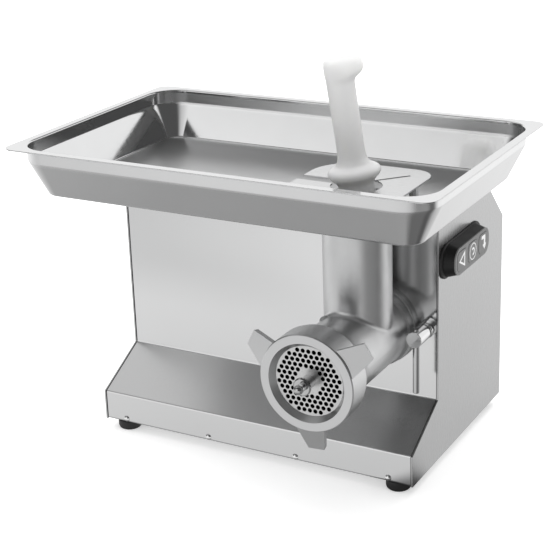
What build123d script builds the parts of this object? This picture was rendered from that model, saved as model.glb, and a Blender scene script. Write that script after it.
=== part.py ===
from build123d import *
import math
import os

# Electric meat grinder: folded steel body, screwed grinding head, feed tray and pusher.
# Millimetres, +Z up. The mince leaves towards -Y and the controls are on the +X side.
# The origin is on the bench, in the plane of the front wall, under the middle of the tray.

# ---- driving dimensions -------------------------------------------------------------
# Body
sheet = 2.0                   # thickness of the body's steel sheets
body_x = -18.0                # middle of the body's width
body_width = 400.0
body_back = 194.0             # outside of the rear cover, measured from the front wall
body_top = 315.0
foot_height = 12.0            # the body's lower edge stands this high
lip_front = -70.0             # front of the low plinth
lip_top = 48.0
fold_height = 85.0            # where the sloped apron meets the front wall
rear_corner = 241.0           # where the rear cover starts to lean forward
top_back = 120.0              # rear edge of the flat top
shadow_gap = 0.9              # gap between the covers and the side panels

# Grinding head
head_x = 113.0
head_z = 166.0
neck_y = -55.0
neck_radius = 36.7
neck_bore = 27.0
neck_top = 327.0
barrel_radius = 41.0
barrel_bore = 31.0
plate_radius = 41.0
plate_front = -170.0
plate_thickness = 8.0
hole_pitch = 6.21
hole_radius = 2.4
hole_field = 35.6             # centres of the outermost holes lie inside this radius
plate_boss = 14.0             # no holes inside this radius
nut_radius = 52.7
nut_front = -177.0
nut_depth = 30.0
lug_tip = 77.0
lug_angles = (33.0, 153.0, 273.0)

# Feed tray
tray_x = 0.0
tray_y = -18.5
rim_length = 500.0
rim_depth = 319.0
rim_width = 11.0
rim_top = 372.0
band_height = 18.0            # upright band under the rim
tray_floor = 315.3            # underside of the floor
tray_sheet = 1.5
basin_inset = 19.0            # the walls lean in by this much between band and floor
basin_corner = 35.0
rim_corner = 14.0

# Guard plate over the mouth
guard_top = 339.0
guard_sheet = 2.0
guard_left, guard_right = 44.0, 172.0
guard_front, guard_back = -115.0, 22.0
mouth_radius = 27.0

# Drive train
motor_teeth = 18
idler_large_teeth = 60
idler_small_teeth = 20
output_teeth = 50
fast_module = 1.5
slow_module = 2.0
backlash = 0.2

# Control pod on the right side panel
pod_y = 59.5
pod_z = 241.7
pod_length = 99.0
pod_height = 30.5
pod_depth = 15.0
pod_opening = (pod_length - 16, pod_height - 8)   # hole in the panel and the gasket

# ---- places worked out from the dimensions above ---------------------------------------
left_face = body_x - body_width / 2
right_face = body_x + body_width / 2
inner_width = body_width - 2 * (sheet + shadow_gap)
head = (head_x, head_z)
fast_distance = fast_module * (motor_teeth + idler_large_teeth) / 2
slow_distance = slow_module * (idler_small_teeth + output_teeth) / 2
idler_angle = math.radians(180 + 19.5)
idler = (head_x + slow_distance * math.cos(idler_angle),
         head_z + slow_distance * math.sin(idler_angle))
motor_angle = math.radians(180 - 16.8)
motor = (idler[0] + fast_distance * math.cos(motor_angle),
         idler[1] + fast_distance * math.sin(motor_angle))

os.makedirs("parts", exist_ok=True)


def save(builder, name):
    """Name a finished piece and write it to its own file."""
    builder.part.label = name
    export_step(builder.part, f"parts/{name}.step")


def facing_front(y):
    """A plane across the grinder at y that faces -Y, with its own x along X and y along Z."""
    return Plane.XZ.offset(-y)


def drum(centre, y_front, y_back, radius, bore=0.0, mode=Mode.ADD):
    """A cylinder, or a ring, whose axis runs along Y through centre = (x, z)."""
    with BuildSketch(facing_front(y_back)) as section:
        with Locations(centre):
            Circle(radius)
            if bore:
                Circle(bore, mode=Mode.SUBTRACT)
    extrude(section.sketch, amount=y_back - y_front, mode=mode)


def turned(centre, profile, mode=Mode.ADD):
    """A solid turned about the Y axis through centre, from a closed (radius, y) profile."""
    x, z = centre
    with BuildSketch(Plane.XY.move(Location((x, 0, z)))) as section:
        with BuildLine():
            Polyline(*profile, close=True)
        make_face()
    revolve(section.sketch, axis=Axis((x, 0, z), (0, 1, 0)), mode=mode)


def inset(path, distance):
    """The corners of a path moved to its right by distance."""
    steps = [(Vector(*b) - Vector(*a)).normalized() for a, b in zip(path, path[1:])]
    normals = [Vector(step.Y, -step.X) for step in steps]
    moved = [Vector(*path[0]) + normals[0] * distance]
    for corner, before, after in zip(path[1:], normals, normals[1:]):
        moved.append(Vector(*corner) + (before + after) * (distance / (1 + before.dot(after))))
    moved.append(Vector(*path[-1]) + normals[-1] * distance)
    return moved


def folded_sheet(path, start_x, width, bend=2.5):
    """A sheet folded along a (y, z) path, which is its outside, and extruded along +X."""
    with BuildSketch(Plane.YZ.offset(start_x)) as section:
        with BuildLine():
            outer = FilletPolyline(*path, radius=bend)
            inner = FilletPolyline(*inset(path, sheet), radius=bend - sheet)
            Line(outer @ 0, inner @ 0)
            Line(outer @ 1, inner @ 1)
        make_face()
    extrude(section.sketch, amount=width)


def block(low, high, mode=Mode.ADD):
    """A box between two opposite corners."""
    size = [high[i] - low[i] for i in range(3)]
    middle = [(high[i] + low[i]) / 2 for i in range(3)]
    with Locations(tuple(middle)):
        Box(*size, mode=mode)


# ---- body ---------------------------------------------------------------------------

side_outline = [(lip_front, foot_height), (lip_front, lip_top), (0, fold_height),
                (0, body_top), (top_back, body_top), (body_back, rear_corner),
                (body_back, foot_height)]
flange = 12.0                 # width of the inward flange at the foot of each side panel
flange_start = 20.0           # the flange stops this far from the panel's ends

for side_name, outer, inward in (("side_panel_left", left_face, 1),
                                 ("side_panel_right", right_face, -1)):
    with BuildPart() as side_panel:
        with BuildSketch(Plane.YZ.offset(outer)):
            with BuildLine():
                Polyline(*side_outline, close=True)
            make_face()
            if inward < 0:
                with Locations((pod_y, pod_z)):
                    RectangleRounded(*pod_opening, 6, mode=Mode.SUBTRACT)
        extrude(amount=inward * sheet)
        edge = outer + inward * sheet
        flange_edge = edge + inward * flange
        block((min(edge, flange_edge), lip_front + flange_start, foot_height),
              (max(edge, flange_edge), body_back - flange_start, foot_height + sheet))
    save(side_panel, side_name)

recess = 1.0                  # covers sit this far inside the side panels' edges
cover_left = left_face + sheet + shadow_gap
cover_foot = foot_height + 0.2
screw_hole = 2.1              # radius of the holes for the cover screws
screw_x = [body_x + i * 113.8 for i in (-1.5, -0.5, 0.5, 1.5)]
lip_screw_z = foot_height + 4.8
socket_radius = 45.5
clamp = (168.5, 168.0)        # axis of the clamp knob

with BuildPart() as front_cover:
    front_path = [(lip_front + 12, cover_foot), (lip_front + recess, cover_foot),
                  (lip_front + recess, lip_top), (recess, fold_height), (recess, body_top - sheet),
                  (16, body_top - sheet)]
    folded_sheet(front_path, cover_left, inner_width)
    drum(head, -5, 10, socket_radius + 0.4, mode=Mode.SUBTRACT)
    drum(clamp, -5, 10, 7.0, mode=Mode.SUBTRACT)
    with BuildSketch(facing_front(lip_front + 5)):
        with Locations(*[(x, lip_screw_z) for x in screw_x]):
            Circle(screw_hole)
    extrude(amount=10, mode=Mode.SUBTRACT)
save(front_cover, "front_cover")

with BuildPart() as lip_screws:
    front = lip_front + recess
    for x in screw_x:
        turned((x, lip_screw_z), [(0, front - 2.4), (1.4, front - 2.1), (2.6, front - 1.3),
                                  (3.3, front), (2.0, front), (2.0, front + 8), (0, front + 8)])
save(lip_screws, "lip_screws")

with BuildPart() as top_plate:
    block((cover_left, 4.0, body_top - sheet), (cover_left + inner_width, top_back - 4, body_top))
    fillet(top_plate.edges().filter_by(Axis.X).group_by(Axis.Z)[-1], 0.8)
save(top_plate, "top_plate")

rear_rows, rear_columns = 9, 3
rear_screw_spots = [(body_x + dx, z) for dx in (-180, 180) for z in (26, 226)]
inlet = (150.0, 62.0)         # mains inlet, low on the rear cover
inlet_body = (28.0, 21.0)
with BuildPart() as rear_cover:
    rear_path = [(top_back - recess, body_top - 1.0), (body_back - recess, rear_corner),
                 (body_back - recess, cover_foot), (body_back - 18, cover_foot)]
    folded_sheet(rear_path, cover_left, inner_width)
    with BuildSketch(facing_front(body_back + 5)):
        with Locations((body_x, 160)):
            with GridLocations(104, 12, rear_columns, rear_rows):
                SlotOverall(78, 5)
        with Locations(inlet):
            RectangleRounded(inlet_body[0] + 0.6, inlet_body[1] + 0.6, 3)
    extrude(amount=12, mode=Mode.SUBTRACT)
    with BuildSketch(facing_front(body_back + 5)):
        with Locations(*rear_screw_spots):
            Circle(screw_hole)
    extrude(amount=12, mode=Mode.SUBTRACT)
save(rear_cover, "rear_cover")

with BuildPart() as rear_screws:
    back = body_back - recess
    for spot in rear_screw_spots:
        turned(spot, [(0, back + 2.2), (1.6, back + 2.0), (3.0, back + 1.2), (3.6, back),
                      (2.0, back), (2.0, back - 8), (0, back - 8)])
save(rear_screws, "rear_screws")

foot_spots = [(body_x + sx * 176.5, y) for sx in (-1, 1) for y in (-54.0, 172.0)]
floor_z = foot_height + sheet + 0.4
with BuildPart() as base_plate:
    block((cover_left + 1, lip_front + 10, floor_z),
          (cover_left + inner_width - 1, body_back - 6, floor_z + sheet))
    with BuildSketch(Plane.XY.offset(floor_z)):
        with Locations((body_x - 20, 60)):
            with GridLocations(70, 14, 3, 6):
                SlotOverall(56, 6)
        with Locations(*foot_spots):
            Circle(2.6)
    extrude(amount=sheet, mode=Mode.SUBTRACT)
save(base_plate, "base_plate")

foot_top = foot_height - 0.1
with BuildPart() as feet:
    for x, y in foot_spots:
        with BuildSketch(Plane(origin=(x, y, 0), x_dir=(1, 0, 0), z_dir=(0, -1, 0))):
            with BuildLine():
                Polyline((4.5, 0), (12.0, 0), (13.5, 1.5), (14.0, 4.0), (14.0, 10.5), (12.5, foot_top),
                         (2.6, foot_top), (2.6, 5.0), (4.5, 5.0), close=True)
            make_face()
        revolve(axis=Axis((x, y, 0), (0, 0, 1)))
save(feet, "feet")

with BuildPart() as foot_screws:
    for x, y in foot_spots:
        with BuildSketch(Plane(origin=(x, y, 0), x_dir=(1, 0, 0), z_dir=(0, -1, 0))):
            with BuildLine():
                Polyline((0, 2.0), (4.2, 2.0), (4.2, 4.9), (2.4, 4.9), (2.4, 24), (0, 24), close=True)
            make_face()
        revolve(axis=Axis((x, y, 0), (0, 0, 1)))
save(foot_screws, "foot_screws")

inlet_back = 198.0
with BuildPart() as power_inlet:
    with BuildSketch(facing_front(inlet_back)):
        with Locations(inlet):
            RectangleRounded(50, 26, 4)
    extrude(amount=inlet_back - body_back + recess)
    with BuildSketch(facing_front(body_back - recess)):
        with Locations(inlet):
            RectangleRounded(*inlet_body, 3)
    extrude(amount=26)
    with BuildSketch(facing_front(inlet_back)):
        with Locations(inlet):
            RectangleRounded(24.5, 17, 2)
    extrude(amount=17, mode=Mode.SUBTRACT)
    # three contact pins
    with BuildSketch(facing_front(body_back)):
        with Locations(*[(inlet[0] + dx, inlet[1] + dz) for dx, dz in ((-7, -2), (0, 2), (7, -2))]):
            Rectangle(2, 4)
    extrude(amount=13)
save(power_inlet, "power_inlet")

# ---- grinding head ----------------------------------------------------------------------

socket_front = -8.0
spigot_radius = 36.0
with BuildPart() as head_socket:
    turned(head, [(spigot_radius + 0.05, socket_front), (socket_radius - 1, socket_front),
                  (socket_radius, socket_front + 1), (socket_radius, 3.0), (62, 3.0), (62, 10),
                  (50, 11), (50, 24), (24.05, 24), (24.05, 16), (spigot_radius + 0.05, 16)])
    # ear that takes the clamp screw, behind the front wall
    drum(clamp, 3.0, 22.0, 10.5)
    drum(clamp, 2.0, 25.0, 6.06, mode=Mode.SUBTRACT)
    with BuildSketch(facing_front(12)):
        with Locations(head):
            with PolarLocations(56, 4, start_angle=45):
                Circle(2.6)
    extrude(amount=12, mode=Mode.SUBTRACT)
    drum(head, -9, 16, spigot_radius + 0.05, mode=Mode.SUBTRACT)
save(head_socket, "head_socket")

with BuildPart() as socket_screws:
    for i in range(4):
        angle = math.radians(45 + 90 * i)
        spot = (head_x + 56 * math.cos(angle), head_z + 56 * math.sin(angle))
        turned(spot, [(0, 3.1), (2.5, 3.1), (2.5, 11.2), (4.5, 11.2), (4.5, 15), (0, 15)])
save(socket_screws, "socket_screws")

barrel_front = -169.0
barrel_back = -8.3
thread_radius = 47.0
flare_radius = 51.0
flare_start, flare_end = -112.0, -143.0
shoulder_y = -146.6
boss_angle, boss_out = math.radians(125), 37.0
with BuildPart() as barrel:
    with BuildSketch(Plane.XY.move(Location((head_x, 0, head_z)))):
        with BuildLine():
            Polyline((0, barrel_back), (44, barrel_back), (44, -18), (barrel_radius + 0.6, -20),
                     (barrel_radius, -40), (barrel_radius, flare_start))
            Spline((barrel_radius, flare_start), (flare_radius, flare_end), tangents=((0, -1), (0.5, -0.9)))
            Polyline((flare_radius, flare_end), (flare_radius, shoulder_y), (thread_radius, shoulder_y),
                     (thread_radius, barrel_front), (0, barrel_front), (0, barrel_back))
        make_face()
    revolve(axis=Axis((head_x, 0, head_z), (0, 1, 0)))
    with BuildSketch(Plane.XY.offset(head_z)):
        with Locations((head_x, neck_y)):
            Circle(neck_radius)
    extrude(amount=neck_top - head_z)
    saddle = [e for e in barrel.edges().filter_by(GeomType.BSPLINE) if e.center().Y < -22]
    fillet(saddle, 5)
    # small cast boss beside the neck
    with Locations((head_x + boss_out * math.cos(boss_angle), neck_y - neck_radius + 2,
                    head_z + boss_out * math.sin(boss_angle))):
        Sphere(7)
    drum(head, barrel_back, 12, spigot_radius)
    with BuildSketch(Plane.XY.offset(head_z)):
        with Locations((head_x, neck_y)):
            Circle(neck_bore)
    extrude(amount=neck_top - head_z + 1, mode=Mode.SUBTRACT)
    drum(head, -152, -25, barrel_bore, mode=Mode.SUBTRACT)
    drum(head, barrel_front - 1, -151.0, plate_radius + 0.3, mode=Mode.SUBTRACT)
    drum(head, -26, 13, 12.06, mode=Mode.SUBTRACT)
    chamfer(barrel.edges().filter_by(GeomType.CIRCLE).group_by(Axis.Z)[-1], 1.2)
save(barrel, "barrel")

flight_front, flight_back, flight_pitch = -148.0, -30.0, 29.5
flight_root, flight_tip = 18.0, 30.4
flight_start = Vector(head_x, flight_front + 4.2, head_z)
with BuildPart() as flight:
    with BuildLine() as spiral:
        Helix(pitch=flight_pitch, height=flight_back - flight_front - 8.4, radius=flight_root,
              center=flight_start, direction=(0, 1, 0))
    spiral_end = spiral.line @ 0
    with BuildSketch(Plane(origin=spiral_end, x_dir=spiral_end - flight_start, z_dir=spiral.line % 0)):
        with BuildLine():
            reach = flight_tip - flight_root
            Polyline((-3.0, -4.2), (4.0, -3.0), (reach, -1.8), (reach, 1.8), (4.0, 3.0), (-3.0, 4.2),
                     close=True)
        make_face()
    sweep(path=spiral.line, is_frenet=True)

with BuildPart() as auger:
    turned(head, [(0, -162), (9.0, -162), (9.0, -151.5), (16.2, -151.5), (19.5, -25.6), (12.0, -25.4),
                  (12.0, 13.8), (0, 13.8)])
    with BuildSketch(facing_front(30)):
        with Locations(head):
            Rectangle(14, 14)
    extrude(amount=17)
    add(flight.part)
save(auger, "auger")

with BuildPart() as knife:
    knife_back = -152.2
    knife_front = plate_front + plate_thickness + 0.3
    drum(head, knife_front, knife_back, 15.0)
    for i in range(4):
        with BuildSketch(facing_front(knife_back)):
            turn = math.radians(90 * i + 20)
            blade = [(10, -6), (38, -3.5), (38.5, 4.5), (10, 9)]
            with BuildLine():
                Polyline(*[(head_x + u * math.cos(turn) - v * math.sin(turn),
                            head_z + u * math.sin(turn) + v * math.cos(turn)) for u, v in blade],
                         close=True)
            make_face()
        extrude(amount=knife_back - knife_front)
    with BuildSketch(facing_front(knife_back)):
        with Locations(head):
            Circle(9.05)
    extrude(amount=knife_back - knife_front, mode=Mode.SUBTRACT)
save(knife, "knife")

row_step = hole_pitch * math.sqrt(3) / 2
holes = []
for row in range(-7, 8):
    for column in range(-7, 8):
        x = hole_pitch * (column + (row % 2) / 2)
        z = row_step * row
        if plate_boss < math.hypot(x, z) < hole_field:
            holes.append((head_x + x, head_z + z))
with BuildPart() as grinding_plate:
    with BuildSketch(facing_front(plate_front + plate_thickness)):
        with Locations(head):
            Circle(plate_radius)
            Circle(7.06, mode=Mode.SUBTRACT)
        with Locations(*holes):
            Circle(hole_radius, mode=Mode.SUBTRACT)
        with Locations((head_x, head_z + plate_radius)):
            Rectangle(4.4, 6, mode=Mode.SUBTRACT)
    extrude(amount=plate_thickness)
save(grinding_plate, "grinding_plate")

with BuildPart() as plate_key:
    block((head_x - 2, plate_front + 1, head_z + plate_radius - 2.6),
          (head_x + 2, plate_front + 6, head_z + plate_radius + 0.25))
save(plate_key, "plate_key")

with BuildPart() as auger_stud:
    ball_radius = 5.0
    ball_y = nut_front - 16.0
    turned(head, [(0, -162), (7.0, -162), (7.0, -181.2), (6.2, -181.8), (6.2, -182.6),
                  (8.6, -182.8), (9.7, -184.0), (9.7, -185.4), (8.6, -186.6), (4.4, -186.6),
                  (4.4, -188.6), (3.4, -189.2), (0, -189.2)])
    with Locations((head_x, ball_y, head_z)):
        Sphere(ball_radius)
save(auger_stud, "auger_stud")

with BuildPart() as ring_nut:
    lip_back = plate_front - 0.3
    nut_back = nut_front + nut_depth
    turned(head, [(42.8, nut_front), (nut_radius - 1, nut_front), (nut_radius, nut_front + 1),
                  (nut_radius, nut_back - 2), (nut_radius - 2, nut_back), (thread_radius + 0.35, nut_back),
                  (thread_radius + 0.35, lip_back), (38.0, lip_back)])
    lug_lean = math.radians(20)
    for angle in lug_angles:
        a = math.radians(angle)
        root = 46.0
        out = Vector(math.cos(a), 0, math.sin(a))
        leaned = Vector(out.X * math.cos(lug_lean), math.sin(lug_lean), out.Z * math.cos(lug_lean))
        side = Vector(-math.sin(a), 0, math.cos(a))
        reach = (lug_tip - root) / math.cos(lug_lean)
        origin = Vector(head_x, nut_front + 0.2, head_z) + out * root
        with BuildSketch(Plane(origin=origin, x_dir=leaned, z_dir=leaned.cross(side))):
            with BuildLine():
                Polyline((0, -16.5), (6, -15.6), (reach, -9.0), (reach, 9.0), (6, 15.6), (0, 16.5),
                         close=True)
            make_face()
        extrude(amount=math.copysign(6.0, leaned.cross(side).Y))
    drum(head, nut_front - 2, lip_back, 38.0, mode=Mode.SUBTRACT)
    turned(head, [(0, nut_front - 3), (44.2, nut_front - 3), (42.8, nut_front), (38.0, lip_back),
                  (0, lip_back)], mode=Mode.SUBTRACT)
    drum(head, lip_back, nut_back + 1, thread_radius + 0.35, mode=Mode.SUBTRACT)
    with BuildSketch(facing_front(nut_front)):
        with Locations(head):
            Circle(120)
    extrude(amount=5, mode=Mode.SUBTRACT)
save(ring_nut, "ring_nut")

# ---- clamp ------------------------------------------------------------------------------

lever_y = -29.0
lever_radius = 3.0
with BuildPart() as clamp_knob:
    turned(clamp, [(0, -36), (7.6, -36), (8.6, -35), (8.6, -17), (7.6, -16), (7.6, -13), (6.0, -12),
                   (6.0, 24), (0, 24)])
    with BuildSketch(Plane.XY.offset(clamp[1] - 12)):
        with Locations((clamp[0], lever_y)):
            Circle(lever_radius + 0.05)
    extrude(amount=24, mode=Mode.SUBTRACT)
save(clamp_knob, "clamp_knob")

with BuildPart() as clamp_lever:
    with BuildSketch(Plane.XY.offset(clamp[1] - 64)):
        with Locations((clamp[0], lever_y)):
            Circle(lever_radius)
    extrude(amount=75)
    chamfer(clamp_lever.edges().filter_by(GeomType.CIRCLE), 0.6)
save(clamp_lever, "clamp_lever")

with BuildPart() as clamp_bush:
    turned(clamp, [(6.06, -7.5), (8.4, -7.5), (9.4, -6.5), (9.6, -4.0), (9.6, recess), (6.8, recess),
                   (6.8, 2.7), (6.06, 2.7)])
save(clamp_bush, "clamp_bush")

# ---- feed tray --------------------------------------------------------------------------

opening_length = rim_length - 2 * rim_width
opening_depth = rim_depth - 2 * rim_width
band_bottom = rim_top - band_height


def basin(grow, floor_at, top_at):
    """The basin's shape, grown outwards by grow: tapered walls and an upright band."""
    draft = math.degrees(math.atan(basin_inset / (band_bottom - tray_floor)))
    height = band_bottom - floor_at
    ledge = band_bottom - grow
    step = 2 * grow - 4
    with BuildSketch(Plane.XY.offset(band_bottom)) as shoulder:
        with Locations((tray_x, tray_y)):
            RectangleRounded(opening_length + step, opening_depth + step, basin_corner + step / 2)
    extrude(shoulder.sketch, amount=-height, taper=draft)
    with BuildSketch(Plane.XY.offset(ledge)) as band:
        with Locations((tray_x, tray_y)):
            RectangleRounded(opening_length + 2 * grow, opening_depth + 2 * grow, basin_corner + grow)
    extrude(band.sketch, amount=top_at - ledge)


with BuildPart() as basin_space:
    basin(0.0, tray_floor + tray_sheet, rim_top + 1)

with BuildPart() as tray:
    basin(tray_sheet, tray_floor, rim_top - tray_sheet)
    with BuildSketch(Plane.XY.offset(rim_top - tray_sheet)):
        with Locations((tray_x, tray_y)):
            RectangleRounded(rim_length, rim_depth, rim_corner)
    extrude(amount=tray_sheet)
    add(basin_space.part, mode=Mode.SUBTRACT)
    with BuildSketch(Plane.XY.offset(tray_floor - 1)):
        with Locations((head_x, neck_y)):
            Circle(neck_radius + 0.7)
    extrude(amount=6, mode=Mode.SUBTRACT)
save(tray, "tray")

with BuildPart() as guard_plate:
    with BuildSketch(Plane.XY.offset(guard_top - guard_sheet)) as guard_outline:
        with BuildLine():
            FilletPolyline((guard_left, guard_front), (guard_right, guard_front), (guard_right, guard_back),
                           (guard_left, guard_back), close=True, radius=(25, 25, 25, 45))
        make_face()
        with Locations((head_x, neck_y)):
            Circle(mouth_radius, mode=Mode.SUBTRACT)
        with Locations(((guard_left + head_x) / 2 - 10, neck_y + 6.5)):
            Rectangle(head_x - guard_left, 15, mode=Mode.SUBTRACT)
        with Locations((head_x + 22, neck_y + 36)):
            Rectangle(46, 3.0, rotation=48, mode=Mode.SUBTRACT)
    extrude(amount=guard_sheet)
save(guard_plate, "guard_plate")

post_spots = [(guard_left + 22, guard_front + 22), (guard_right - 18, guard_front + 22),
              (guard_right - 20, guard_back - 20), (guard_left + 26, guard_back - 22)]
with BuildPart() as guard_posts:
    with BuildSketch(Plane.XY.offset(tray_floor + tray_sheet)):
        with Locations(*post_spots):
            Circle(5)
    extrude(amount=guard_top - guard_sheet - tray_floor - tray_sheet)
save(guard_posts, "guard_posts")

# The pusher stands in the mouth and leans to the left.
pusher_tilt = math.radians(8.6)
pusher_radius = 15.0
pusher_end = 133.5            # its top, measured along its own axis from the guard plate
tilt_plane = Plane(origin=(head_x, neck_y, guard_top),
                   x_dir=(math.cos(pusher_tilt), 0, math.sin(pusher_tilt)), z_dir=(0, -1, 0))
tilt_axis = Axis((head_x, neck_y, guard_top), (-math.sin(pusher_tilt), 0, math.cos(pusher_tilt)))
grip_height = 14.0
with BuildPart() as grip:
    # wider on its right side than the shaft
    with BuildSketch(Plane(origin=tilt_plane.from_local_coords(Vector(3.6, pusher_end - grip_height, 0)),
                           x_dir=tilt_plane.x_dir, z_dir=tilt_axis.direction)):
        Ellipse(18.5, 16.0)
    extrude(amount=grip_height)
    fillet(grip.edges(), 4)

with BuildPart() as pusher:
    with BuildSketch(tilt_plane):
        with BuildLine():
            Polyline((0, -42), (16.5, -42), (18.5, -40), (18.5, -4), (20.5, 1), (27.0, 9), (28.6, 13.5),
                     (28.0, 18.5), (24.5, 22.5), (17.8, 26), (15.6, 31), (pusher_radius, 45),
                     (pusher_radius, pusher_end - 5), (0, pusher_end - 5), close=True)
        make_face()
    revolve(axis=tilt_axis)
    add(grip.part)
save(pusher, "pusher")

# ---- controls ---------------------------------------------------------------------------

button_spacing = 31.0
button_length, button_height = 26.0, 22.0
button_gap = 0.35
button_travel = 1.5
face_sheet = 1.5
face_x = right_face + pod_depth

with BuildPart() as switch_gasket:
    with BuildSketch(Plane.YZ.offset(right_face)):
        with Locations((pod_y, pod_z)):
            RectangleRounded(pod_length + 20, pod_height + 9, 19)
            RectangleRounded(*pod_opening, 6, mode=Mode.SUBTRACT)
    extrude(amount=2.5)
    chamfer(switch_gasket.faces().sort_by(Axis.X)[-1].outer_wire().edges(), 1.0)
save(switch_gasket, "switch_gasket")

with BuildPart() as switch_housing:
    with BuildSketch(Plane.YZ.offset(face_x - face_sheet)):
        with Locations((pod_y, pod_z)):
            RectangleRounded(pod_length, pod_height, 13)
    extrude(amount=-(pod_depth - face_sheet - 2.5), taper=-18)
    with BuildSketch(Plane.YZ.offset(right_face + 2.5)):
        with Locations((pod_y, pod_z)):
            RectangleRounded(pod_length - 17, pod_height - 9, 5.5)
    extrude(amount=-18)
    with BuildSketch(Plane.YZ.offset(face_x - face_sheet)):
        with Locations((pod_y, pod_z)):
            with GridLocations(button_spacing, 1, 3, 1):
                RectangleRounded(button_length + 3, button_height + 2, 7)
    extrude(amount=-4.5, mode=Mode.SUBTRACT)
save(switch_housing, "switch_housing")

with BuildPart() as switch_face:
    with BuildSketch(Plane.YZ.offset(face_x - face_sheet)):
        with Locations((pod_y, pod_z)):
            RectangleRounded(pod_length, pod_height, 13)
            with GridLocations(button_spacing, 1, 3, 1):
                RectangleRounded(button_length + 2 * button_gap, button_height + 2 * button_gap,
                                 6 + button_gap, mode=Mode.SUBTRACT)
    extrude(amount=face_sheet)
save(switch_face, "switch_face")

for step, button_name in ((-1, "button_forward"), (0, "button_stop"), (1, "button_reverse")):
    with BuildPart() as button:
        spot = (pod_y + step * button_spacing, pod_z)
        with BuildSketch(Plane.YZ.offset(face_x + 0.5)):
            with Locations(spot):
                RectangleRounded(button_length, button_height, 6)
        extrude(amount=-3.0)
        chamfer(button.faces().sort_by(Axis.X)[-1].edges(), 0.3)
    save(button, button_name)

# ---- gearbox ----------------------------------------------------------------------------


def gear_points(teeth, module, phase):
    """The outline of an involute spur gear about (0, 0), with one tooth centred on phase."""
    pressure = math.radians(20)
    pitch_radius = module * teeth / 2
    base_radius = pitch_radius * math.cos(pressure)
    tip_radius = pitch_radius + 0.95 * module
    root_radius = pitch_radius - 1.25 * module
    half_pitch = math.pi / (2 * teeth) - backlash / (4 * pitch_radius)

    def half_angle(radius):
        roll = math.acos(min(1.0, base_radius / radius))
        return half_pitch + (math.tan(pressure) - pressure) - (math.tan(roll) - roll)

    first = max(base_radius, root_radius)
    radii = [first + (tip_radius - first) * i / 3 for i in range(4)]
    points = []
    for tooth in range(teeth):
        middle = phase + 2 * math.pi * tooth / teeth
        flank = [(root_radius, half_angle(first) + 0.1 / root_radius)]
        flank += [(r, half_angle(r)) for r in radii]
        for radius, angle in flank:
            points.append((radius * math.cos(middle - angle), radius * math.sin(middle - angle)))
        for radius, angle in reversed(flank):
            points.append((radius * math.cos(middle + angle), radius * math.sin(middle + angle)))
    return points


def gear(centre, teeth, module, phase, y_front, y_back, bore):
    """A spur gear about the Y axis through centre."""
    with BuildSketch(facing_front(y_back)) as section:
        with BuildLine():
            outline = gear_points(teeth, module, phase)
            Polyline(*[(centre[0] + x, centre[1] + z) for x, z in outline], close=True)
        make_face()
        with Locations(centre):
            Circle(bore, mode=Mode.SUBTRACT)
    extrude(section.sketch, amount=y_back - y_front)


slow_front, slow_back = 36.0, 50.0
fast_front, fast_back = 53.0, 64.0
hub_radius = 15.0
idler_radius = 9.0
rotor_shaft_radius = 8.0

with BuildPart() as output_gear:
    gear(head, output_teeth, slow_module, idler_angle, slow_front, slow_back, hub_radius + 0.02)
    drum(head, slow_front - 1, slow_front + 4, slow_module * output_teeth / 2 - 8, bore=hub_radius + 8,
         mode=Mode.SUBTRACT)
save(output_gear, "output_gear")

with BuildPart() as idler_pinion:
    gear(idler, idler_small_teeth, slow_module, idler_angle + math.pi + math.pi / idler_small_teeth,
         slow_front, slow_back, idler_radius + 0.02)
save(idler_pinion, "idler_pinion")

with BuildPart() as idler_gear:
    gear(idler, idler_large_teeth, fast_module, motor_angle, fast_front, fast_back, idler_radius + 0.02)
save(idler_gear, "idler_gear")

with BuildPart() as motor_pinion:
    gear(motor, motor_teeth, fast_module, motor_angle + math.pi + math.pi / motor_teeth,
         fast_front, fast_back, rotor_shaft_radius + 0.02)
save(motor_pinion, "motor_pinion")

with BuildPart() as idler_shaft:
    drum(idler, 25, 75, idler_radius)
    chamfer(idler_shaft.edges().filter_by(GeomType.CIRCLE), 0.8)
save(idler_shaft, "idler_shaft")

with BuildPart() as drive_hub:
    turned(head, [(0, 15.5), (hub_radius, 15.5), (hub_radius, 75), (0, 75)])
    with BuildSketch(facing_front(33)):
        with Locations(head):
            Rectangle(14.2, 14.2)
    extrude(amount=20, mode=Mode.SUBTRACT)
save(drive_hub, "drive_hub")

case_front, case_back = 24.0, 68.0
case_wall = 6.0


def case_outline(grow):
    """The gearbox's outline: a hull round its three shafts."""
    for centre, radius in ((head, 58), (idler, 52), (motor, 34)):
        with Locations(centre):
            Circle(radius + grow)
    make_hull()


with BuildPart() as gearbox_case:
    with BuildSketch(facing_front(case_back)):
        case_outline(case_wall)
    extrude(amount=case_back - case_front)
    with BuildSketch(facing_front(case_back)):
        case_outline(0)
    extrude(amount=case_back - case_front - case_wall, mode=Mode.SUBTRACT)
    for centre, outer in ((head, 26.0), (idler, 20.0)):
        drum(centre, case_front, case_front + 10, outer + 4)
        drum(centre, case_front - 1, case_front + 11, outer, mode=Mode.SUBTRACT)
save(gearbox_case, "gearbox_case")

with BuildPart() as gearbox_cover:
    with BuildSketch(facing_front(case_back + 8)):
        case_outline(case_wall)
    extrude(amount=8)
    drum(head, case_back - 1, case_back + 9, 26.0, mode=Mode.SUBTRACT)
    drum(idler, case_back - 1, case_back + 9, 20.0, mode=Mode.SUBTRACT)
    drum(motor, case_back - 1, case_back + 9, 17.5, mode=Mode.SUBTRACT)
save(gearbox_cover, "gearbox_cover")

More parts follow.
